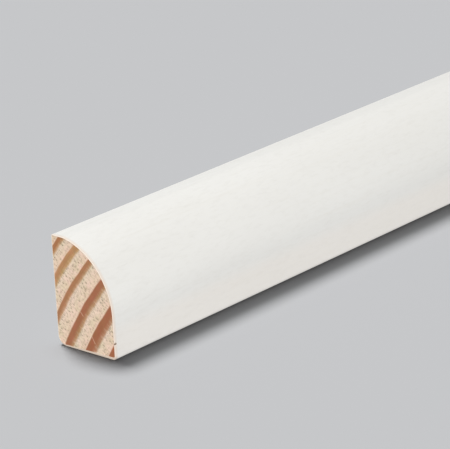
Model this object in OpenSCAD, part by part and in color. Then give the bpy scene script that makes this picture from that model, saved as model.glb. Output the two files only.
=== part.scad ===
// Base shoe moulding: one length of primed pine, planed to a section with a flat back, a flat base,
// a low straight toe and a single long curve. It stands on its base as it does at the foot of a wall.
// X runs along the length, +Y faces the wall, -Y faces the room and Z is up.
// The origin is on the floor, under the middle of the base, halfway along the length.

/* [Stock] */
// Length as sold, between the two square saw cuts
stock_length = 2438.4; // [300:0.1:4876.8]

/* [Section] */
// Depth of the base, from the wall face to the toe face
base_depth = 12.7; // [9:0.05:18]
// Height of the back, from the floor to the top land
back_height = 19.05; // [16:0.05:28]
// Height of the straight toe below the curve
toe_height = 7.1; // [2:0.05:9]
// Width of the flat land along the top, from the wall face to the curve
top_land = 2.6; // [1:0.05:5]

/* [Eased edges] */
// Radius of the eased edge between the base and the wall face
heel_radius = 1.65; // [0.2:0.05:2.5]
// Radius of the eased edge between the base and the toe face
toe_radius = 0.5; // [0.1:0.05:1.5]
// Radius of the eased edge between the top land and the wall face
land_radius = 0.25; // [0.1:0.05:0.8]

/* [Hidden] */

// Facets of an arc when the section is only previewed
$fn = 96;
// Overlap that keeps a cut from ending flush with the face it cuts
overcut = 1;

// Run and rise of the curve, from the top of the toe to the edge of the land
curve_run = base_depth - top_land;
curve_rise = back_height - toe_height;
// Step to which the radius of the moulding cutter is ground
cutter_step = 0.01;
// The one radius that leaves the toe face tangent and ends at the edge of the land
tangent_radius = (curve_run * curve_run + curve_rise * curve_rise) / (2 * curve_run);
curve_radius = round(tangent_radius / cutter_step) * cutter_step;

// Section faces in the section's own plane: wall side positive, room side negative
wall_face = base_depth / 2;
toe_face = -base_depth / 2;
// Centre of the curve, level with the top of the toe
curve_centre = [toe_face + curve_radius, toe_height];

// Material outside the curve. The curve passes above the blank before it reaches its own centre line,
// so the land begins where it leaves the top of the blank
module curve_waste() {
    difference() {
        translate([toe_face - overcut, toe_height])
            square([curve_radius + overcut, curve_rise + overcut]);
        translate(curve_centre)
            circle(r = curve_radius);
    }
}

// Material outside a rounded corner. The corner is at the origin and the section lies on its +X, +Y side
module corner_waste(radius) {
    difference() {
        translate([-overcut, -overcut])
            square(radius + overcut);
        translate([radius, radius])
            circle(r = radius);
    }
}

// The blank, with the curve and the three eased edges planed away
module section() {
    difference() {
        translate([toe_face, 0])
            square([base_depth, back_height]);
        curve_waste();
        translate([toe_face, 0])
            corner_waste(toe_radius);
        translate([wall_face, 0])
            rotate(90)
                corner_waste(heel_radius);
        translate([wall_face, back_height])
            rotate(180)
                corner_waste(land_radius);
    }
}

// The strip: the section carried from one saw cut to the other
module shoe_moulding() {
    color("#EDECE7")
        translate([-stock_length / 2, 0, 0])
            rotate([90, 0, 90])
                linear_extrude(height = stock_length)
                    section();
}

shoe_moulding();
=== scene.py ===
import math

import bmesh
import bpy
from mathutils import Matrix, Vector, noise


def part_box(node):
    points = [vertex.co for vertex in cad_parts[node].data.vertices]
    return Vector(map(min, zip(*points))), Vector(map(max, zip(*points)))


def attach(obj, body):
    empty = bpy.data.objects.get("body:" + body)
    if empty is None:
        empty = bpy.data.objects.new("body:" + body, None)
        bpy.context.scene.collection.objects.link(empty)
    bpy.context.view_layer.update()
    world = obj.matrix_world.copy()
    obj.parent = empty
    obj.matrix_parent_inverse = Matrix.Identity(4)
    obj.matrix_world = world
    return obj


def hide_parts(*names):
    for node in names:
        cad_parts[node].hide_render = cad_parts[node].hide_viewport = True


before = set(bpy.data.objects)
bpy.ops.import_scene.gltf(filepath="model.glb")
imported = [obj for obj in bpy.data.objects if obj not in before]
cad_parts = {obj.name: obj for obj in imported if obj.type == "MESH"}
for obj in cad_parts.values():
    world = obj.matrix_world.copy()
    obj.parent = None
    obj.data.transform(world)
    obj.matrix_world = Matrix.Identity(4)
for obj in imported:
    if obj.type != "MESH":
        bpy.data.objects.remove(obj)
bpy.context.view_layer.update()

# Sizes of the strip. The box gives the outside, and the section's own sizes are those of the solid
MM = 0.001
strip_low, strip_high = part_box("shoe_moulding")
NEAR, FAR = strip_low.x, strip_high.x
TOE, WALL = strip_low.y, strip_high.y
BASE, TOP = strip_low.z, strip_high.z
TOE_HEIGHT = 7.1 * MM
TOP_LAND = 2.6 * MM
TOE_RADIUS = 0.5 * MM
HEEL_RADIUS = 1.65 * MM
LAND_RADIUS = 0.25 * MM

# Width of the worn arris round each sawn end, and of the band of primer that shows inside it
ARRIS = 0.09 * MM
PRIMER_RIM = 0.05 * MM
# Primer drains to the foot of an end and creeps a little way up it, most at the toe
BASE_CREEP = 0.14 * MM
TOE_CREEP = 0.24 * MM
CREEP_HEIGHT = 1.2 * MM
CREEP_RUN = 3.0 * MM
# Width of the strip of primer beside each arris that the saw left thin, and the height of the painted shade
# at its foot
THIN_EDGE = 0.7 * MM
SHADED_FOOT = 0.9 * MM
# Distance from an end over which the painted light on the coat falls off to its usual shade
END_LIGHT_FALL = 120 * MM
# Distance between the cuts that dice a sawn end, fine enough to carry the relief of its grain
GRAIN_PITCH = 0.16 * MM
# A chip out of the toe's arris at the near end: its middle, its half length along the strip, its reach
# up and down and into the wood, its depth and direction, and the distance between the cuts that carry
# its shape
CHIP_INSET = 0.18 * MM
CHIP_HEIGHT = 2.8 * MM
CHIP_LENGTH = 0.42 * MM
CHIP_REACH = 0.24 * MM
CHIP_DEPTH = 0.11 * MM
CHIP_INWARD = Vector((0.4, 1, 0)).normalized()
CHIP_PITCH = 0.08 * MM

# The heart of the tree, as millimetres from the wall face and above the floor, and its yearly rings:
# the outer radius in millimetres, the width of dark latewood just inside it, and its two colours
HEART_DEPTH = 58.3
HEART_HEIGHT = -29.1
RINGS = (
    (55.65, 1.3, "#A96346", "#B87C55"),
    (60.03, 1.9, "#A36146", "#B47D5E"),
    (64.03, 1.6, "#A7664C", "#BA8A63"),
    (67.85, 1.0, "#B07958", "#BC8862"),
    (71.43, 1.25, "#BE8A63", "#C39766"),
    (74.4, 1.0, "#B07450", "#C09065"),
)
# Early in each year the wood is a pale cream, a little pinker just outside the dark edge of the last ring
EARLYWOOD = "#EDD4C2"
FIRST_GROWTH = "#F5D3C0"
# Distance from the heart, in millimetres, at which the drawn rings begin and end
FIRST_RADIUS = 53.0
LAST_RADIUS = 77.0
MIDDLE_RADIUS = (FIRST_RADIUS + LAST_RADIUS) / 2
# Marks on the bare wood, as millimetres from the wall face and above the floor: where each starts and
# ends, its half width, its strength and its colour. Two fibres pulled by the saw, and a dark grey-brown spot
# in the chip
MARKS = (
    ((5.5, 6.8), (6.0, 6.2), 0.14, 0.5, "#E2BFA2"),
    ((7.6, 3.2), (8.3, 1.9), 0.14, 0.5, "#E2BFA2"),
    ((12.65, 2.75), (12.75, 2.85), 0.32, 0.85, "#6A5F50"),
)
# Depth to which the saw tears the soft earlywood below the hard latewood, and to which it roughens both,
# with rough spots to a millimetre
EARLYWOOD_DIP = 0.035 * MM
ROUGH_DEPTH = 0.010 * MM
ROUGH_SPOTS = 3.0
# Arcs that the blade leaves: its centre, as millimetres from the wall face and above the floor, the
# millimetres from one arc to the next, and their depth
BLADE_DEPTH = -60
BLADE_HEIGHT = 110
ARC_STEP = 0.9
ARC_DEPTH = 0.006 * MM

PRIMED, THIN_PRIMED, BARE = range(3)


def linear(colour):
    """An sRGB hex colour as linear red, green, blue and alpha."""
    shares = [int(colour[i:i + 2], 16) / 255 for i in (1, 3, 5)]
    return [s / 12.92 if s <= 0.04045 else ((s + 0.055) / 1.055) ** 2.4 for s in shares] + [1.0]


def node(tree, kind, settings=None, **inputs):
    """Adds a node. Settings are its own properties, and inputs are its sockets, by name or as _number:
    a socket of another node is linked, and a plain value is set."""
    made = tree.nodes.new(kind)
    for name, value in (settings or {}).items():
        setattr(made, name, value)
    for name, value in inputs.items():
        socket = made.inputs[int(name[1:]) if name.startswith("_") else name.replace("__", " ")]
        if isinstance(value, bpy.types.NodeSocket):
            tree.links.new(value, socket)
        else:
            socket.default_value = value
    return made


def new_material(name):
    """An empty material with a Principled shader wired to its output."""
    made = bpy.data.materials.new(name)
    made.use_nodes = True
    made.node_tree.nodes.clear()
    shader = node(made.node_tree, "ShaderNodeBsdfPrincipled")
    node(made.node_tree, "ShaderNodeOutputMaterial", _0=shader.outputs["BSDF"])
    return made, made.node_tree, shader


def lay_over(tree, colour, films):
    """Lays films of colour over a first colour. Each film has a mask and the colour that it shows."""
    for mask, shade in films:
        laid = node(tree, "ShaderNodeMix", {"data_type": "RGBA"}, _0=mask, _6=colour, _7=linear(shade))
        colour = laid.outputs[2]
    return colour


def of_size(*lengths):
    """The scale at which a pattern's features are so many millimetres long, across and high."""
    return [1 / (length * MM) for length in lengths]


def primer(name, coat):
    """Acrylic primer, sprayed on planed pine and dried warm. It dries to a matt white film with faint
    clouds in its thickness, and the planed grain beneath draws very fine lines along the strip.
    A coat of 1 hides the wood, and a thinner one lets more of its colour and grain through."""
    made, tree, shader = new_material(name)
    place = node(tree, "ShaderNodeTexCoord").outputs["Object"]
    split = node(tree, "ShaderNodeSeparateXYZ", Vector=place)
    thin = 1.0 - coat

    # Clouds about 30 mm long and 9 mm across, where the film dried thicker or thinner
    clouds_at = node(tree, "ShaderNodeMapping", Vector=place, Scale=of_size(30, 9, 9))
    clouds = node(tree, "ShaderNodeTexNoise", Vector=clouds_at.outputs[0],
                  Scale=1.0, Detail=3.0, Roughness=0.55)
    cloudy = node(tree, "ShaderNodeMapRange", Value=clouds.outputs["Fac"],
                  From__Min=0.3, From__Max=0.7, To__Max=0.35)
    # Grain lines about 45 mm long and 0.7 mm apart. Real ones are nearer 0.3 mm, too fine to show here
    lines_at = node(tree, "ShaderNodeMapping", Vector=place, Scale=of_size(45, 0.7, 0.7))
    lines = node(tree, "ShaderNodeTexNoise", Vector=lines_at.outputs[0],
                 Scale=1.0, Detail=4.0, Roughness=0.6)
    grained = node(tree, "ShaderNodeMapRange", Value=lines.outputs["Fac"],
                   From__Min=0.52, From__Max=0.78, To__Max=0.12 + 0.5 * thin)
    # Orange peel of the spray, blots about 2 mm long and 0.6 mm across
    peel_at = node(tree, "ShaderNodeMapping", Vector=place, Scale=of_size(2.0, 0.6, 0.6))
    peel = node(tree, "ShaderNodeTexNoise", Vector=peel_at.outputs[0],
                Scale=1.0, Detail=3.0, Roughness=0.65)
    blotted = node(tree, "ShaderNodeMapRange", Value=peel.outputs["Fac"],
                   From__Min=0.48, From__Max=0.75, To__Max=0.18)
    # Low on the strip the coat drains thin, and the wood warms it a little
    drained = node(tree, "ShaderNodeMapRange", Value=split.outputs["Z"],
                   From__Min=BASE + 0.9 * TOE_HEIGHT, From__Max=BASE + 0.6 * TOE_HEIGHT, To__Max=0.16)
    # Beside each sawn end the saw scuffed the film. The cream of the wood comes through, with painted shade
    # at the foot
    from_middle = node(tree, "ShaderNodeMath", {"operation": "ABSOLUTE"}, _0=split.outputs["X"])
    scuffed = node(tree, "ShaderNodeMapRange", Value=from_middle.outputs[0],
                   From__Min=FAR - THIN_EDGE, From__Max=FAR - ARRIS / 2, To__Max=0.6)
    foot = node(tree, "ShaderNodeMapRange", Value=split.outputs["Z"],
                From__Min=BASE + SHADED_FOOT, From__Max=BASE + 0.4 * SHADED_FOOT)
    # Painted shade: the scuffed band is darker at its foot, where the lower arris faces down
    painted_foot_shade = node(tree, "ShaderNodeMath", {"operation": "MULTIPLY"},
                  _0=scuffed.outputs[0], _1=foot.outputs[0])

    # The coat is whitest at both ends and a little greyer further in: painted light that falls off away from
    # each end
    end_light = node(tree, "ShaderNodeMapRange", Value=from_middle.outputs[0],
                    From__Min=FAR - END_LIGHT_FALL, From__Max=FAR)
    coat_and_end_light = node(tree, "ShaderNodeMix", {"data_type": "RGBA"}, _0=end_light.outputs[0],
                      _6=linear("#E7E7E4"), _7=linear("#F1F1EE"))
    shader.inputs["IOR"].default_value = 1.48
    colour = lay_over(tree, coat_and_end_light.outputs[2], (
        (cloudy.outputs[0], "#E5E4E0"),
        (grained.outputs[0], "#DDD8CC"),
        (blotted.outputs[0], "#D3D1CB"),
        (drained.outputs[0], "#FBEBDC"),
        (scuffed.outputs[0], "#EAD3BE"),
        # Painted shade at the foot of each sawn end
        (painted_foot_shade.outputs[0], "#C0AC9A"),
    ))
    tree.links.new(colour, shader.inputs["Base Color"])
    gloss = node(tree, "ShaderNodeMapRange", Value=clouds.outputs["Fac"], To__Min=0.55, To__Max=0.68)
    tree.links.new(gloss.outputs[0], shader.inputs["Roughness"])

    # The grain's ridges, and over them pores and dust nibs in the film, about 0.4 mm across
    nibs = node(tree, "ShaderNodeTexNoise", Vector=place, Scale=1 / (0.4 * MM), Detail=2.0, Roughness=0.5)
    ridges = node(tree, "ShaderNodeBump", Height=lines.outputs["Fac"],
                  Strength=0.5 + thin, Distance=0.012 * MM)
    skin = node(tree, "ShaderNodeBump", Height=nibs.outputs["Fac"],
                Strength=0.5, Distance=0.012 * MM, Normal=ridges.outputs[0])
    tree.links.new(skin.outputs[0], shader.inputs["Normal"])
    return made


def mark_along(tree, place, start, end, width):
    """A mask of 1 along a line between two points of the section, in the units of place."""
    run = Vector(end) - Vector(start)
    from_start = node(tree, "ShaderNodeVectorMath", {"operation": "SUBTRACT"}, _0=place, _1=start)
    along = node(tree, "ShaderNodeVectorMath", {"operation": "DOT_PRODUCT"},
                 _0=from_start.outputs[0], _1=run / run.length_squared)
    held = node(tree, "ShaderNodeClamp", Value=along.outputs["Value"])
    nearest = node(tree, "ShaderNodeVectorMath", {"operation": "SCALE"}, _0=run, Scale=held.outputs[0])
    gap = node(tree, "ShaderNodeVectorMath", {"operation": "DISTANCE"},
               _0=from_start.outputs[0], _1=nearest.outputs[0])
    mask = node(tree, "ShaderNodeMapRange", {"interpolation_type": "SMOOTHSTEP"},
                Value=gap.outputs["Value"], From__Min=width, From__Max=0.0)
    return mask.outputs[0]


def yearly_rings(tree, radius):
    """The colour of the wood by its distance from the heart. Alpha is 1 in hard latewood."""
    share = node(tree, "ShaderNodeMapRange", Value=radius, From__Min=FIRST_RADIUS, From__Max=LAST_RADIUS)
    rings = node(tree, "ShaderNodeValToRGB", Fac=share.outputs[0])
    ramp = rings.color_ramp
    for end in ramp.elements:
        end.color = linear(EARLYWOOD)[:3] + [0.0]
    for outer, width, dark, fading in RINGS:
        # From the soft inner side of the latewood to its sharp outer side, in millimetres
        stops = (
            (outer - width - 0.38, EARLYWOOD, 0.0),
            (outer - width, fading, 0.5),
            (outer - 0.6 * width, dark, 1.0),
            (outer - 0.12, dark, 1.0),
            (outer + 0.08, FIRST_GROWTH, 0.4),
        )
        for at, colour, latewood in stops:
            stop = ramp.elements.new((at - FIRST_RADIUS) / (LAST_RADIUS - FIRST_RADIUS))
            stop.color = linear(colour)[:3] + [latewood]
    return rings


def sawn_pine():
    """End grain of a softwood, cut by a fine circular saw and left bare. Wide bands of cream earlywood,
    speckled with cut cells, alternate with hard red-brown latewood, which ends sharply on its outer side
    and fades to gold on its inner side."""
    made, tree, shader = new_material("sawn_pine")
    place = node(tree, "ShaderNodeTexCoord").outputs["Object"]
    # Millimetres across the section from the heart of the tree, with the length pressed out
    heart = Vector((0.0, WALL / MM - HEART_DEPTH, BASE / MM + HEART_HEIGHT))
    section = node(tree, "ShaderNodeMapping", Vector=place, Scale=(0.0, 1 / MM, 1 / MM), Location=-heart)
    spread = node(tree, "ShaderNodeVectorMath", {"operation": "LENGTH"}, _0=section.outputs[0])

    # Rings wander by about 0.2 mm over 5 mm, and the wandering changes slowly along the strip
    wander_at = node(tree, "ShaderNodeMapping", Vector=place, Scale=of_size(400, 5, 5))
    wander = node(tree, "ShaderNodeTexNoise", Vector=wander_at.outputs[0],
                  Scale=1.0, Detail=3.0, Roughness=0.5)
    shift = node(tree, "ShaderNodeMapRange", Value=wander.outputs["Fac"], To__Min=-0.28, To__Max=0.28)
    radius = node(tree, "ShaderNodeMath", {"operation": "ADD"},
                  _0=spread.outputs["Value"], _1=shift.outputs[0])
    rings = yearly_rings(tree, radius.outputs[0])
    hard = rings.outputs["Alpha"]
    soft = node(tree, "ShaderNodeMath", {"operation": "SUBTRACT"}, _0=1.0, _1=hard)

    # Patches about 1.5 mm across, some pinker and some nearer straw, in the pale and the dark wood alike
    patches = node(tree, "ShaderNodeTexNoise", Vector=section.outputs[0],
                   Scale=1 / 1.5, Detail=2.0, Roughness=0.6)
    straw = node(tree, "ShaderNodeMapRange", Value=patches.outputs["Fac"], From__Min=0.35, From__Max=0.65)
    tinted = node(tree, "ShaderNodeMix", {"data_type": "RGBA", "blend_type": "MULTIPLY"},
                  _0=straw.outputs[0], _6=rings.outputs["Color"], _7=linear("#F0FCEE"))

    # Places as a distance from the heart and an angle round it, for what runs in rows out from the heart
    split = node(tree, "ShaderNodeSeparateXYZ", Vector=section.outputs[0])
    turn = node(tree, "ShaderNodeMath", {"operation": "ARCTAN2"},
                _0=split.outputs["Z"], _1=split.outputs["Y"])
    polar = node(tree, "ShaderNodeCombineXYZ", X=spread.outputs["Value"], Y=turn.outputs[0])

    # Mottling of the cut cells, 0.6 mm by 0.35 mm. Real cells are ten times finer, too fine to show here
    mottle_at = node(tree, "ShaderNodeMapping", Vector=polar.outputs[0],
                     Scale=(1 / 0.60, MIDDLE_RADIUS / 0.35, 1.0))
    mottle = node(tree, "ShaderNodeTexNoise", Vector=mottle_at.outputs[0],
                  Scale=1.0, Detail=2.0, Roughness=0.6)
    grey = node(tree, "ShaderNodeMapRange", Value=mottle.outputs["Fac"],
                From__Min=0.44, From__Max=0.64, To__Max=0.68)
    mottled = node(tree, "ShaderNodeMath", {"operation": "MULTIPLY"}, _0=grey.outputs[0], _1=soft.outputs[0])

    # Resin canals and torn cells show as grey-brown specks, longer towards the heart than across, and
    # deeper and darker in some patches than in others
    cells_at = node(tree, "ShaderNodeMapping", Vector=polar.outputs[0],
                    Scale=(1 / 0.60, MIDDLE_RADIUS / 0.36, 1.0))
    cells = node(tree, "ShaderNodeTexVoronoi", {"voronoi_dimensions": "2D"}, Vector=cells_at.outputs[0],
                 Scale=1.0, Randomness=0.85)
    dot = node(tree, "ShaderNodeMapRange", {"interpolation_type": "SMOOTHSTEP"},
               Value=cells.outputs["Distance"], From__Min=0.52, From__Max=0.12)
    chance = node(tree, "ShaderNodeSeparateColor", Color=cells.outputs["Color"])
    picked = node(tree, "ShaderNodeMath", {"operation": "GREATER_THAN"}, _0=chance.outputs[0], _1=0.3)
    depth = node(tree, "ShaderNodeMapRange", Value=patches.outputs["Fac"],
                 From__Min=0.35, From__Max=0.60, To__Min=0.4)
    speck = dot.outputs[0]
    for part in (chance.outputs[1], picked.outputs[0], depth.outputs[0], soft.outputs[0]):
        speck = node(tree, "ShaderNodeMath", {"operation": "MULTIPLY"}, _0=speck, _1=part).outputs[0]

    # Rays: pale threads 0.5 mm apart that run out from the heart for about 4 mm
    rays_at = node(tree, "ShaderNodeMapping", Vector=polar.outputs[0],
                   Scale=(1 / 4.0, MIDDLE_RADIUS / 0.5, 1.0))
    rays = node(tree, "ShaderNodeTexNoise", Vector=rays_at.outputs[0],
                Scale=1.0, Detail=2.0, Roughness=0.6)
    pale = node(tree, "ShaderNodeMapRange", Value=rays.outputs["Fac"],
                From__Min=0.48, From__Max=0.68, To__Max=0.50)
    rayed = node(tree, "ShaderNodeMath", {"operation": "MULTIPLY"}, _0=pale.outputs[0], _1=soft.outputs[0])

    # Latewood is streaked along the ring, 0.25 mm apart and a few millimetres long
    bands_at = node(tree, "ShaderNodeMapping", Vector=polar.outputs[0],
                    Scale=(1 / 0.25, MIDDLE_RADIUS / 2.5, 1.0))
    bands = node(tree, "ShaderNodeTexNoise", Vector=bands_at.outputs[0],
                 Scale=1.0, Detail=2.0, Roughness=0.6)
    brown = node(tree, "ShaderNodeMapRange", Value=bands.outputs["Fac"],
                 From__Min=0.40, From__Max=0.65, To__Max=0.45)
    banded = node(tree, "ShaderNodeMath", {"operation": "MULTIPLY"}, _0=brown.outputs[0], _1=hard)

    films = [
        (mottled.outputs[0], "#BCA992"),
        (speck, "#806E5C"),
        (rayed.outputs[0], "#F3DAC4"),
        (banded.outputs[0], "#9C6E48"),
    ]
    for start, end, width, strength, shade in MARKS:
        ends = [Vector((0.0, HEART_DEPTH - deep, high - HEART_HEIGHT)) for deep, high in (start, end)]
        mask = mark_along(tree, section.outputs[0], ends[0], ends[1], width)
        part = node(tree, "ShaderNodeMath", {"operation": "MULTIPLY"}, _0=mask, _1=strength)
        films.append((part.outputs[0], shade))
    tree.links.new(lay_over(tree, tinted.outputs[2], films), shader.inputs["Base Color"])
    shader.inputs["Roughness"].default_value = 0.8
    shader.inputs["IOR"].default_value = 1.4

    dents = node(tree, "ShaderNodeMath", {"operation": "SUBTRACT"}, _0=1.0, _1=speck)
    pitted = node(tree, "ShaderNodeBump", Height=dents.outputs[0], Strength=0.6, Distance=0.03 * MM)
    tree.links.new(pitted.outputs[0], shader.inputs["Normal"])
    return made


def latewood_at(depth, height):
    """How much of the wood is latewood, from 0 to 1, at a place in the section in millimetres."""
    radius = math.hypot(HEART_DEPTH - depth, height - HEART_HEIGHT)
    for outer, width, _dark, _fading in RINGS:
        if outer - width < radius <= outer:
            return min(1.0, (radius - (outer - width)) / (0.4 * width), (outer - radius) / 0.1)
    return 0.0


def draw_section(bm):
    """The section at the near end. Its long curve is spun from the top of the toe, and its three other
    corners are rounded."""
    run = WALL - TOE - TOP_LAND
    rise = TOP - BASE - TOE_HEIGHT
    radius = (run * run + rise * rise) / (2 * run)
    foot = bm.verts.new((NEAR, TOE, BASE + TOE_HEIGHT))
    spun = bmesh.ops.spin(bm, geom=[foot], cent=(NEAR, TOE + radius, BASE + TOE_HEIGHT), axis=(1, 0, 0),
                          angle=-math.acos(1 - run / radius), steps=36, dvec=(0, 0, 0))
    crest = next(v for v in spun["geom_last"] if isinstance(v, bmesh.types.BMVert))
    corners = [bm.verts.new((NEAR, y, z)) for y, z in ((WALL, TOP), (WALL, BASE), (TOE, BASE))]
    chain = [crest, *corners, foot]
    for first, second in zip(chain, chain[1:]):
        bm.edges.new((first, second))
    bmesh.ops.contextual_create(bm, geom=bm.edges[:])
    for corner, size in zip(corners, (LAND_RADIUS, HEEL_RADIUS, TOE_RADIUS)):
        bmesh.ops.bevel(bm, geom=[corner], offset=size, offset_type="OFFSET", affect="VERTICES",
                        segments=8, profile=0.5, material=-1)
    return bm.faces[:]


def end_faces(bm, x):
    """The flat faces across the strip at one end."""
    return [f for f in bm.faces if abs(f.normal.x) > 0.99 and abs(f.calc_center_median().x - x) < ARRIS / 4]


def wear_arris(bm, x):
    """Wears the sharp edge round one sawn end, and sets its bare wood inside the band of primer."""
    rim = [e for e in bm.edges if all(abs(v.co.x - x) < ARRIS / 4 for v in e.verts)]
    bmesh.ops.bevel(bm, geom=rim, offset=ARRIS, offset_type="OFFSET", affect="EDGES", segments=3,
                    profile=0.5, material=-1)
    bm.normal_update()
    faces = end_faces(bm, x)
    bmesh.ops.inset_region(bm, faces=faces, thickness=PRIMER_RIM, depth=0.0, use_even_offset=True)
    for v in {v for f in faces for v in f.verts}:
        creep = BASE_CREEP + TOE_CREEP * max(0.0, 1 - (v.co.y - TOE) / CREEP_RUN)
        v.co.z += creep * max(0.0, 1 - (v.co.z - BASE) / CREEP_HEIGHT)
    for face in faces:
        face.material_index = BARE
    return faces


def cut_across(bm, faces, axis, at):
    """Cuts faces along one plane across an axis, and gives back all their pieces."""
    geom = list({v for f in faces for v in f.verts} | {e for f in faces for e in f.edges}) + faces
    place = Vector((0, 0, 0))
    place[axis] = at
    normal = Vector((0, 0, 0))
    normal[axis] = 1.0
    cut = bmesh.ops.bisect_plane(bm, geom=geom, dist=1e-7, plane_co=place, plane_no=normal)
    return [g for g in cut["geom"] if isinstance(g, bmesh.types.BMFace)]


def dice(bm, faces):
    """Cuts the bare end into small squares, which then carry the relief of its grain."""
    for axis, low, high in ((1, TOE, WALL), (2, BASE, TOP)):
        for i in range(1, int((high - low) / GRAIN_PITCH) + 1):
            faces = cut_across(bm, faces, axis, low + i * GRAIN_PITCH)
    return {v for f in faces for v in f.verts}


def tear_grain(verts, x, inward):
    """Sinks the earlywood below the latewood, and lays the faint arcs of the saw over both."""
    for v in verts:
        if all(f.material_index == BARE for f in v.link_faces):
            depth = (WALL - v.co.y) / MM
            height = (v.co.z - BASE) / MM
            torn = EARLYWOOD_DIP * (1 - latewood_at(depth, height))
            from_blade = math.hypot(depth - BLADE_DEPTH, height - BLADE_HEIGHT)
            ripple = ARC_DEPTH * (1 + math.sin(2 * math.pi * from_blade / ARC_STEP))
            rough = ROUGH_DEPTH * (1 + noise.noise(Vector((x, depth, height)) * ROUGH_SPOTS))
            v.co.x += inward * (torn + ripple + rough)


def chip_toe_arris(bm):
    """Knocks a small chip out of the toe's arris at the near end, where the primer came off with it."""
    middle = Vector((NEAR + CHIP_INSET, TOE, BASE + CHIP_HEIGHT))
    reach = (CHIP_LENGTH, CHIP_REACH, CHIP_REACH)
    cuts_along = math.ceil((CHIP_INSET + CHIP_LENGTH) / CHIP_PITCH)
    cuts_up = math.ceil(CHIP_REACH / CHIP_PITCH) + 1

    def at_toe(face):
        return (min(v.co.x for v in face.verts) < NEAR + 2 * ARRIS
                and max(v.co.y for v in face.verts) < TOE + ARRIS + 2 * PRIMER_RIM
                and BASE + TOE_RADIUS < face.calc_center_median().z < BASE + TOE_HEIGHT)

    end_of_cuts = NEAR + cuts_along * CHIP_PITCH
    side = cut_across(bm, [f for f in bm.faces if at_toe(f)], 0, end_of_cuts)
    side = [f for f in side if f.calc_center_median().x < end_of_cuts]
    for i in range(-cuts_up, cuts_up + 1):
        side = cut_across(bm, side, 2, middle.z + i * CHIP_PITCH)
    side = [f for f in side if abs(f.calc_center_median().z - middle.z) < cuts_up * CHIP_PITCH]
    for i in range(1, cuts_along):
        side = cut_across(bm, side, 0, NEAR + i * CHIP_PITCH)

    def nearness(v):
        return 1 - Vector([gap / size for gap, size in zip(v.co - middle, reach)]).length

    reached = {v: nearness(v) for v in bm.verts if nearness(v) > 0}
    for v, near in reached.items():
        ragged = 1 + 0.3 * noise.noise(v.co / CHIP_PITCH)
        v.co += CHIP_INWARD * CHIP_DEPTH * ragged * min(1.0, 1.5 * near)
    for face in {f for v in reached for f in v.link_faces}:
        if all(reached.get(v, 0) > 0.1 for v in face.verts):
            face.material_index = BARE


def build_strip():
    """The whole strip as one closed mesh: section, length, worn ends and diced end grain."""
    bm = bmesh.new()
    section = draw_section(bm)
    grown = bmesh.ops.extrude_face_region(bm, geom=section)
    far_verts = [g for g in grown["geom"] if isinstance(g, bmesh.types.BMVert)]
    bmesh.ops.translate(bm, verts=far_verts, vec=(FAR - NEAR, 0, 0))
    bmesh.ops.recalc_face_normals(bm, faces=bm.faces[:])
    for face in bm.faces:
        hidden = face.normal.y > 0.99 or face.normal.z < -0.99
        face.material_index = THIN_PRIMED if hidden else PRIMED
    for x, inward in ((NEAR, 1.0), (FAR, -1.0)):
        bare = wear_arris(bm, x)
        tear_grain(dice(bm, bare), x, inward)
    chip_toe_arris(bm)
    # Faces left with many sides beside the cuts are split here, because the export would split them
    # into slivers
    many_sided = [f for f in bm.faces if len(f.verts) > 4]
    bmesh.ops.triangulate(bm, faces=many_sided, ngon_method="BEAUTY")
    mesh = bpy.data.meshes.new("moulding_strip")
    bm.to_mesh(mesh)
    bm.free()
    mesh.shade_smooth()
    mesh.set_sharp_from_angle(angle=math.radians(35))
    strip = bpy.data.objects.new("moulding_strip", mesh)
    bpy.context.scene.collection.objects.link(strip)
    for finish in (primer("sprayed_primer", 1.0), primer("sprayed_primer_thin", 0.7), sawn_pine()):
        mesh.materials.append(finish)
    # Flat faces keep their own shading beside the small rounds, by the size of each face
    even = strip.modifiers.new("even_shading", "WEIGHTED_NORMAL")
    even.mode = "FACE_AREA"
    even.keep_sharp = True
    return strip


# Shade of the floor and background, as the photograph shows them
FLOOR_SHADE = "#C6C7C9"
# Light on the floor, where a surface of its shade needs 1. The floor's own paint is darker by as much,
# so that what the white strip throws back doesn't fill its shadow
FLOOR_LIGHT = 4.6
SKY_LIGHT = 0.35
# Half the side of the floor in metres, and its distance below the base, so that the two never share a plane
FLOOR_HALF = 40.0
FLOOR_GAP = 0.03 * MM


def painted_floor():
    """Matt painted board. It shows no gloss or grain, only the strip's soft shadow. To the strip it is evenly
    lit, as a wide floor is."""
    made, tree, shader = new_material("floor_paint")
    seen = linear(FLOOR_SHADE)
    shader.inputs["Base Color"].default_value = [c / FLOOR_LIGHT for c in seen[:3]] + [1.0]
    shader.inputs["Roughness"].default_value = 1.0
    shader.inputs["Specular IOR Level"].default_value = 0.0
    path = node(tree, "ShaderNodeLightPath")
    even = node(tree, "ShaderNodeEmission", Color=seen, Strength=1.0)
    both = node(tree, "ShaderNodeMixShader", _0=path.outputs["Is Diffuse Ray"],
                _1=shader.outputs["BSDF"], _2=even.outputs[0])
    output = next(n for n in tree.nodes if n.type == "OUTPUT_MATERIAL")
    tree.links.new(both.outputs[0], output.inputs[0])
    made.cycles.emission_sampling = "NONE"
    return made


def lay_floor():
    """A plain floor, a hair below the base."""
    bm = bmesh.new()
    bmesh.ops.create_grid(bm, x_segments=1, y_segments=1, size=FLOOR_HALF)
    bmesh.ops.translate(bm, verts=bm.verts[:], vec=(0, 0, BASE - FLOOR_GAP))
    mesh = bpy.data.meshes.new("floor")
    bm.to_mesh(mesh)
    bm.free()
    mesh.materials.append(painted_floor())
    floor = bpy.data.objects.new("floor", mesh)
    bpy.context.scene.collection.objects.link(floor)
    return floor


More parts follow.
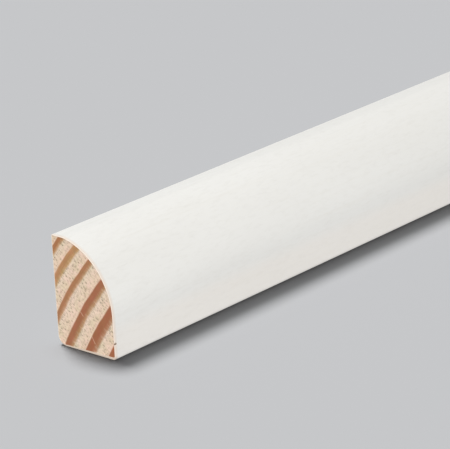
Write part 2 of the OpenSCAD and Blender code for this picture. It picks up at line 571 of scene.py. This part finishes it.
def lamp(name, azimuth, elevation, softness, strength, lights, tint="#FFFFFF"):
    """A wide distant lamp. Azimuth 0 shines from the toe side, 90 from +X and 180 from the wall side.
    Strength 1 lights a surface that faces it so that a colour renders as it is written."""
    data = bpy.data.lights.new(name, "SUN")
    data.energy = strength * math.pi
    data.color = linear(tint)[:3]
    data.angle = math.radians(softness)
    made = bpy.data.objects.new(name, data)
    bpy.context.scene.collection.objects.link(made)
    a, e = math.radians(azimuth), math.radians(elevation)
    towards = Vector((math.sin(a) * math.cos(e), -math.cos(a) * math.cos(e), math.sin(e)))
    made.rotation_euler = towards.to_track_quat("Z", "Y").to_euler()
    receivers = bpy.data.collections.new("lit_by_" + name)
    for receiver in lights:
        receivers.objects.link(receiver)
    made.light_linking.receiver_collection = receivers
    return made


def light_floor(floor):
    """Two lamps from behind and above share the light on the floor. The lower one draws the long side of
    the strip's shadow, and the higher one its dark core."""
    for name, azimuth, elevation, softness, share in (
        ("floor_lamp_low", 161, 63.7, 18.3, 0.83),
        ("floor_lamp_high", 136.5, 81.6, 22.5, 0.17),
    ):
        strength = share * (FLOOR_LIGHT - SKY_LIGHT) / math.sin(math.radians(elevation))
        lamp(name, azimuth, elevation, softness, strength, [floor])


def light_sky():
    """Even light from all round, and the background seen directly in the floor's own shade."""
    world = bpy.data.worlds.new("studio")
    bpy.context.scene.world = world
    world.use_nodes = True
    tree = world.node_tree
    tree.nodes.clear()
    path = node(tree, "ShaderNodeLightPath")
    direct = node(tree, "ShaderNodeMath", {"operation": "MAXIMUM"},
                  _0=path.outputs["Is Camera Ray"], _1=path.outputs["Is Glossy Ray"])
    seen = node(tree, "ShaderNodeMath", {"operation": "MAXIMUM"},
                _0=direct.outputs[0], _1=path.outputs["Is Transmission Ray"])
    soft = node(tree, "ShaderNodeBackground", Color=linear("#FFFFFF"), Strength=SKY_LIGHT)
    back = node(tree, "ShaderNodeBackground", Color=linear(FLOOR_SHADE), Strength=1.0)
    mix = node(tree, "ShaderNodeMixShader", _0=seen.outputs[0], _1=soft.outputs[0], _2=back.outputs[0])
    node(tree, "ShaderNodeOutputWorld", _0=mix.outputs[0])


# The photograph's viewpoint, in millimetres from the near end's lower corner at the wall face
EYE = (-290.86, -299.19, 167.51)
EYE_AZIMUTH = -48.048
EYE_ELEVATION = 19.611
EYE_ROLL = -2.954
LENS = 219.74


def place_camera():
    """The photograph's view: a long lens, level with no shift, turned a little about its own axis."""
    data = bpy.data.cameras.new("camera")
    data.lens = LENS
    data.sensor_width = 36.0
    data.clip_start = 0.01
    data.clip_end = 200.0
    made = bpy.data.objects.new("camera", data)
    bpy.context.scene.collection.objects.link(made)
    a, e = math.radians(EYE_AZIMUTH), math.radians(EYE_ELEVATION)
    back = Vector((math.sin(a) * math.cos(e), -math.cos(a) * math.cos(e), math.sin(e)))
    upright = back.to_track_quat("Z", "Y").to_matrix().to_4x4()
    roll = Matrix.Rotation(math.radians(EYE_ROLL), 4, "Z")
    place = Matrix.Translation(Vector((NEAR, WALL, BASE)) + Vector(EYE) * MM)
    made.matrix_world = place @ upright @ roll
    bpy.context.scene.camera = made


place_camera()
strip = build_strip()
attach(strip, "root")
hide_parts("shoe_moulding")
light_floor(lay_floor())
lamp("top_lamp", 198, 47, 40, 0.381, [strip])
lamp("front_lamp", -46, 31.7, 40, 0.741, [strip], "#FFFDFA")
# The wall face and the far end look away from both, and would be no lighter than the floor. This lamp is
# opposite the camera, so it gives no sheen, which would fall on the top land
lamp("rear_lamp", 135, 2, 4, 0.3, [strip]).visible_glossy = False
light_sky()
bpy.context.scene.view_settings.view_transform = "Standard"
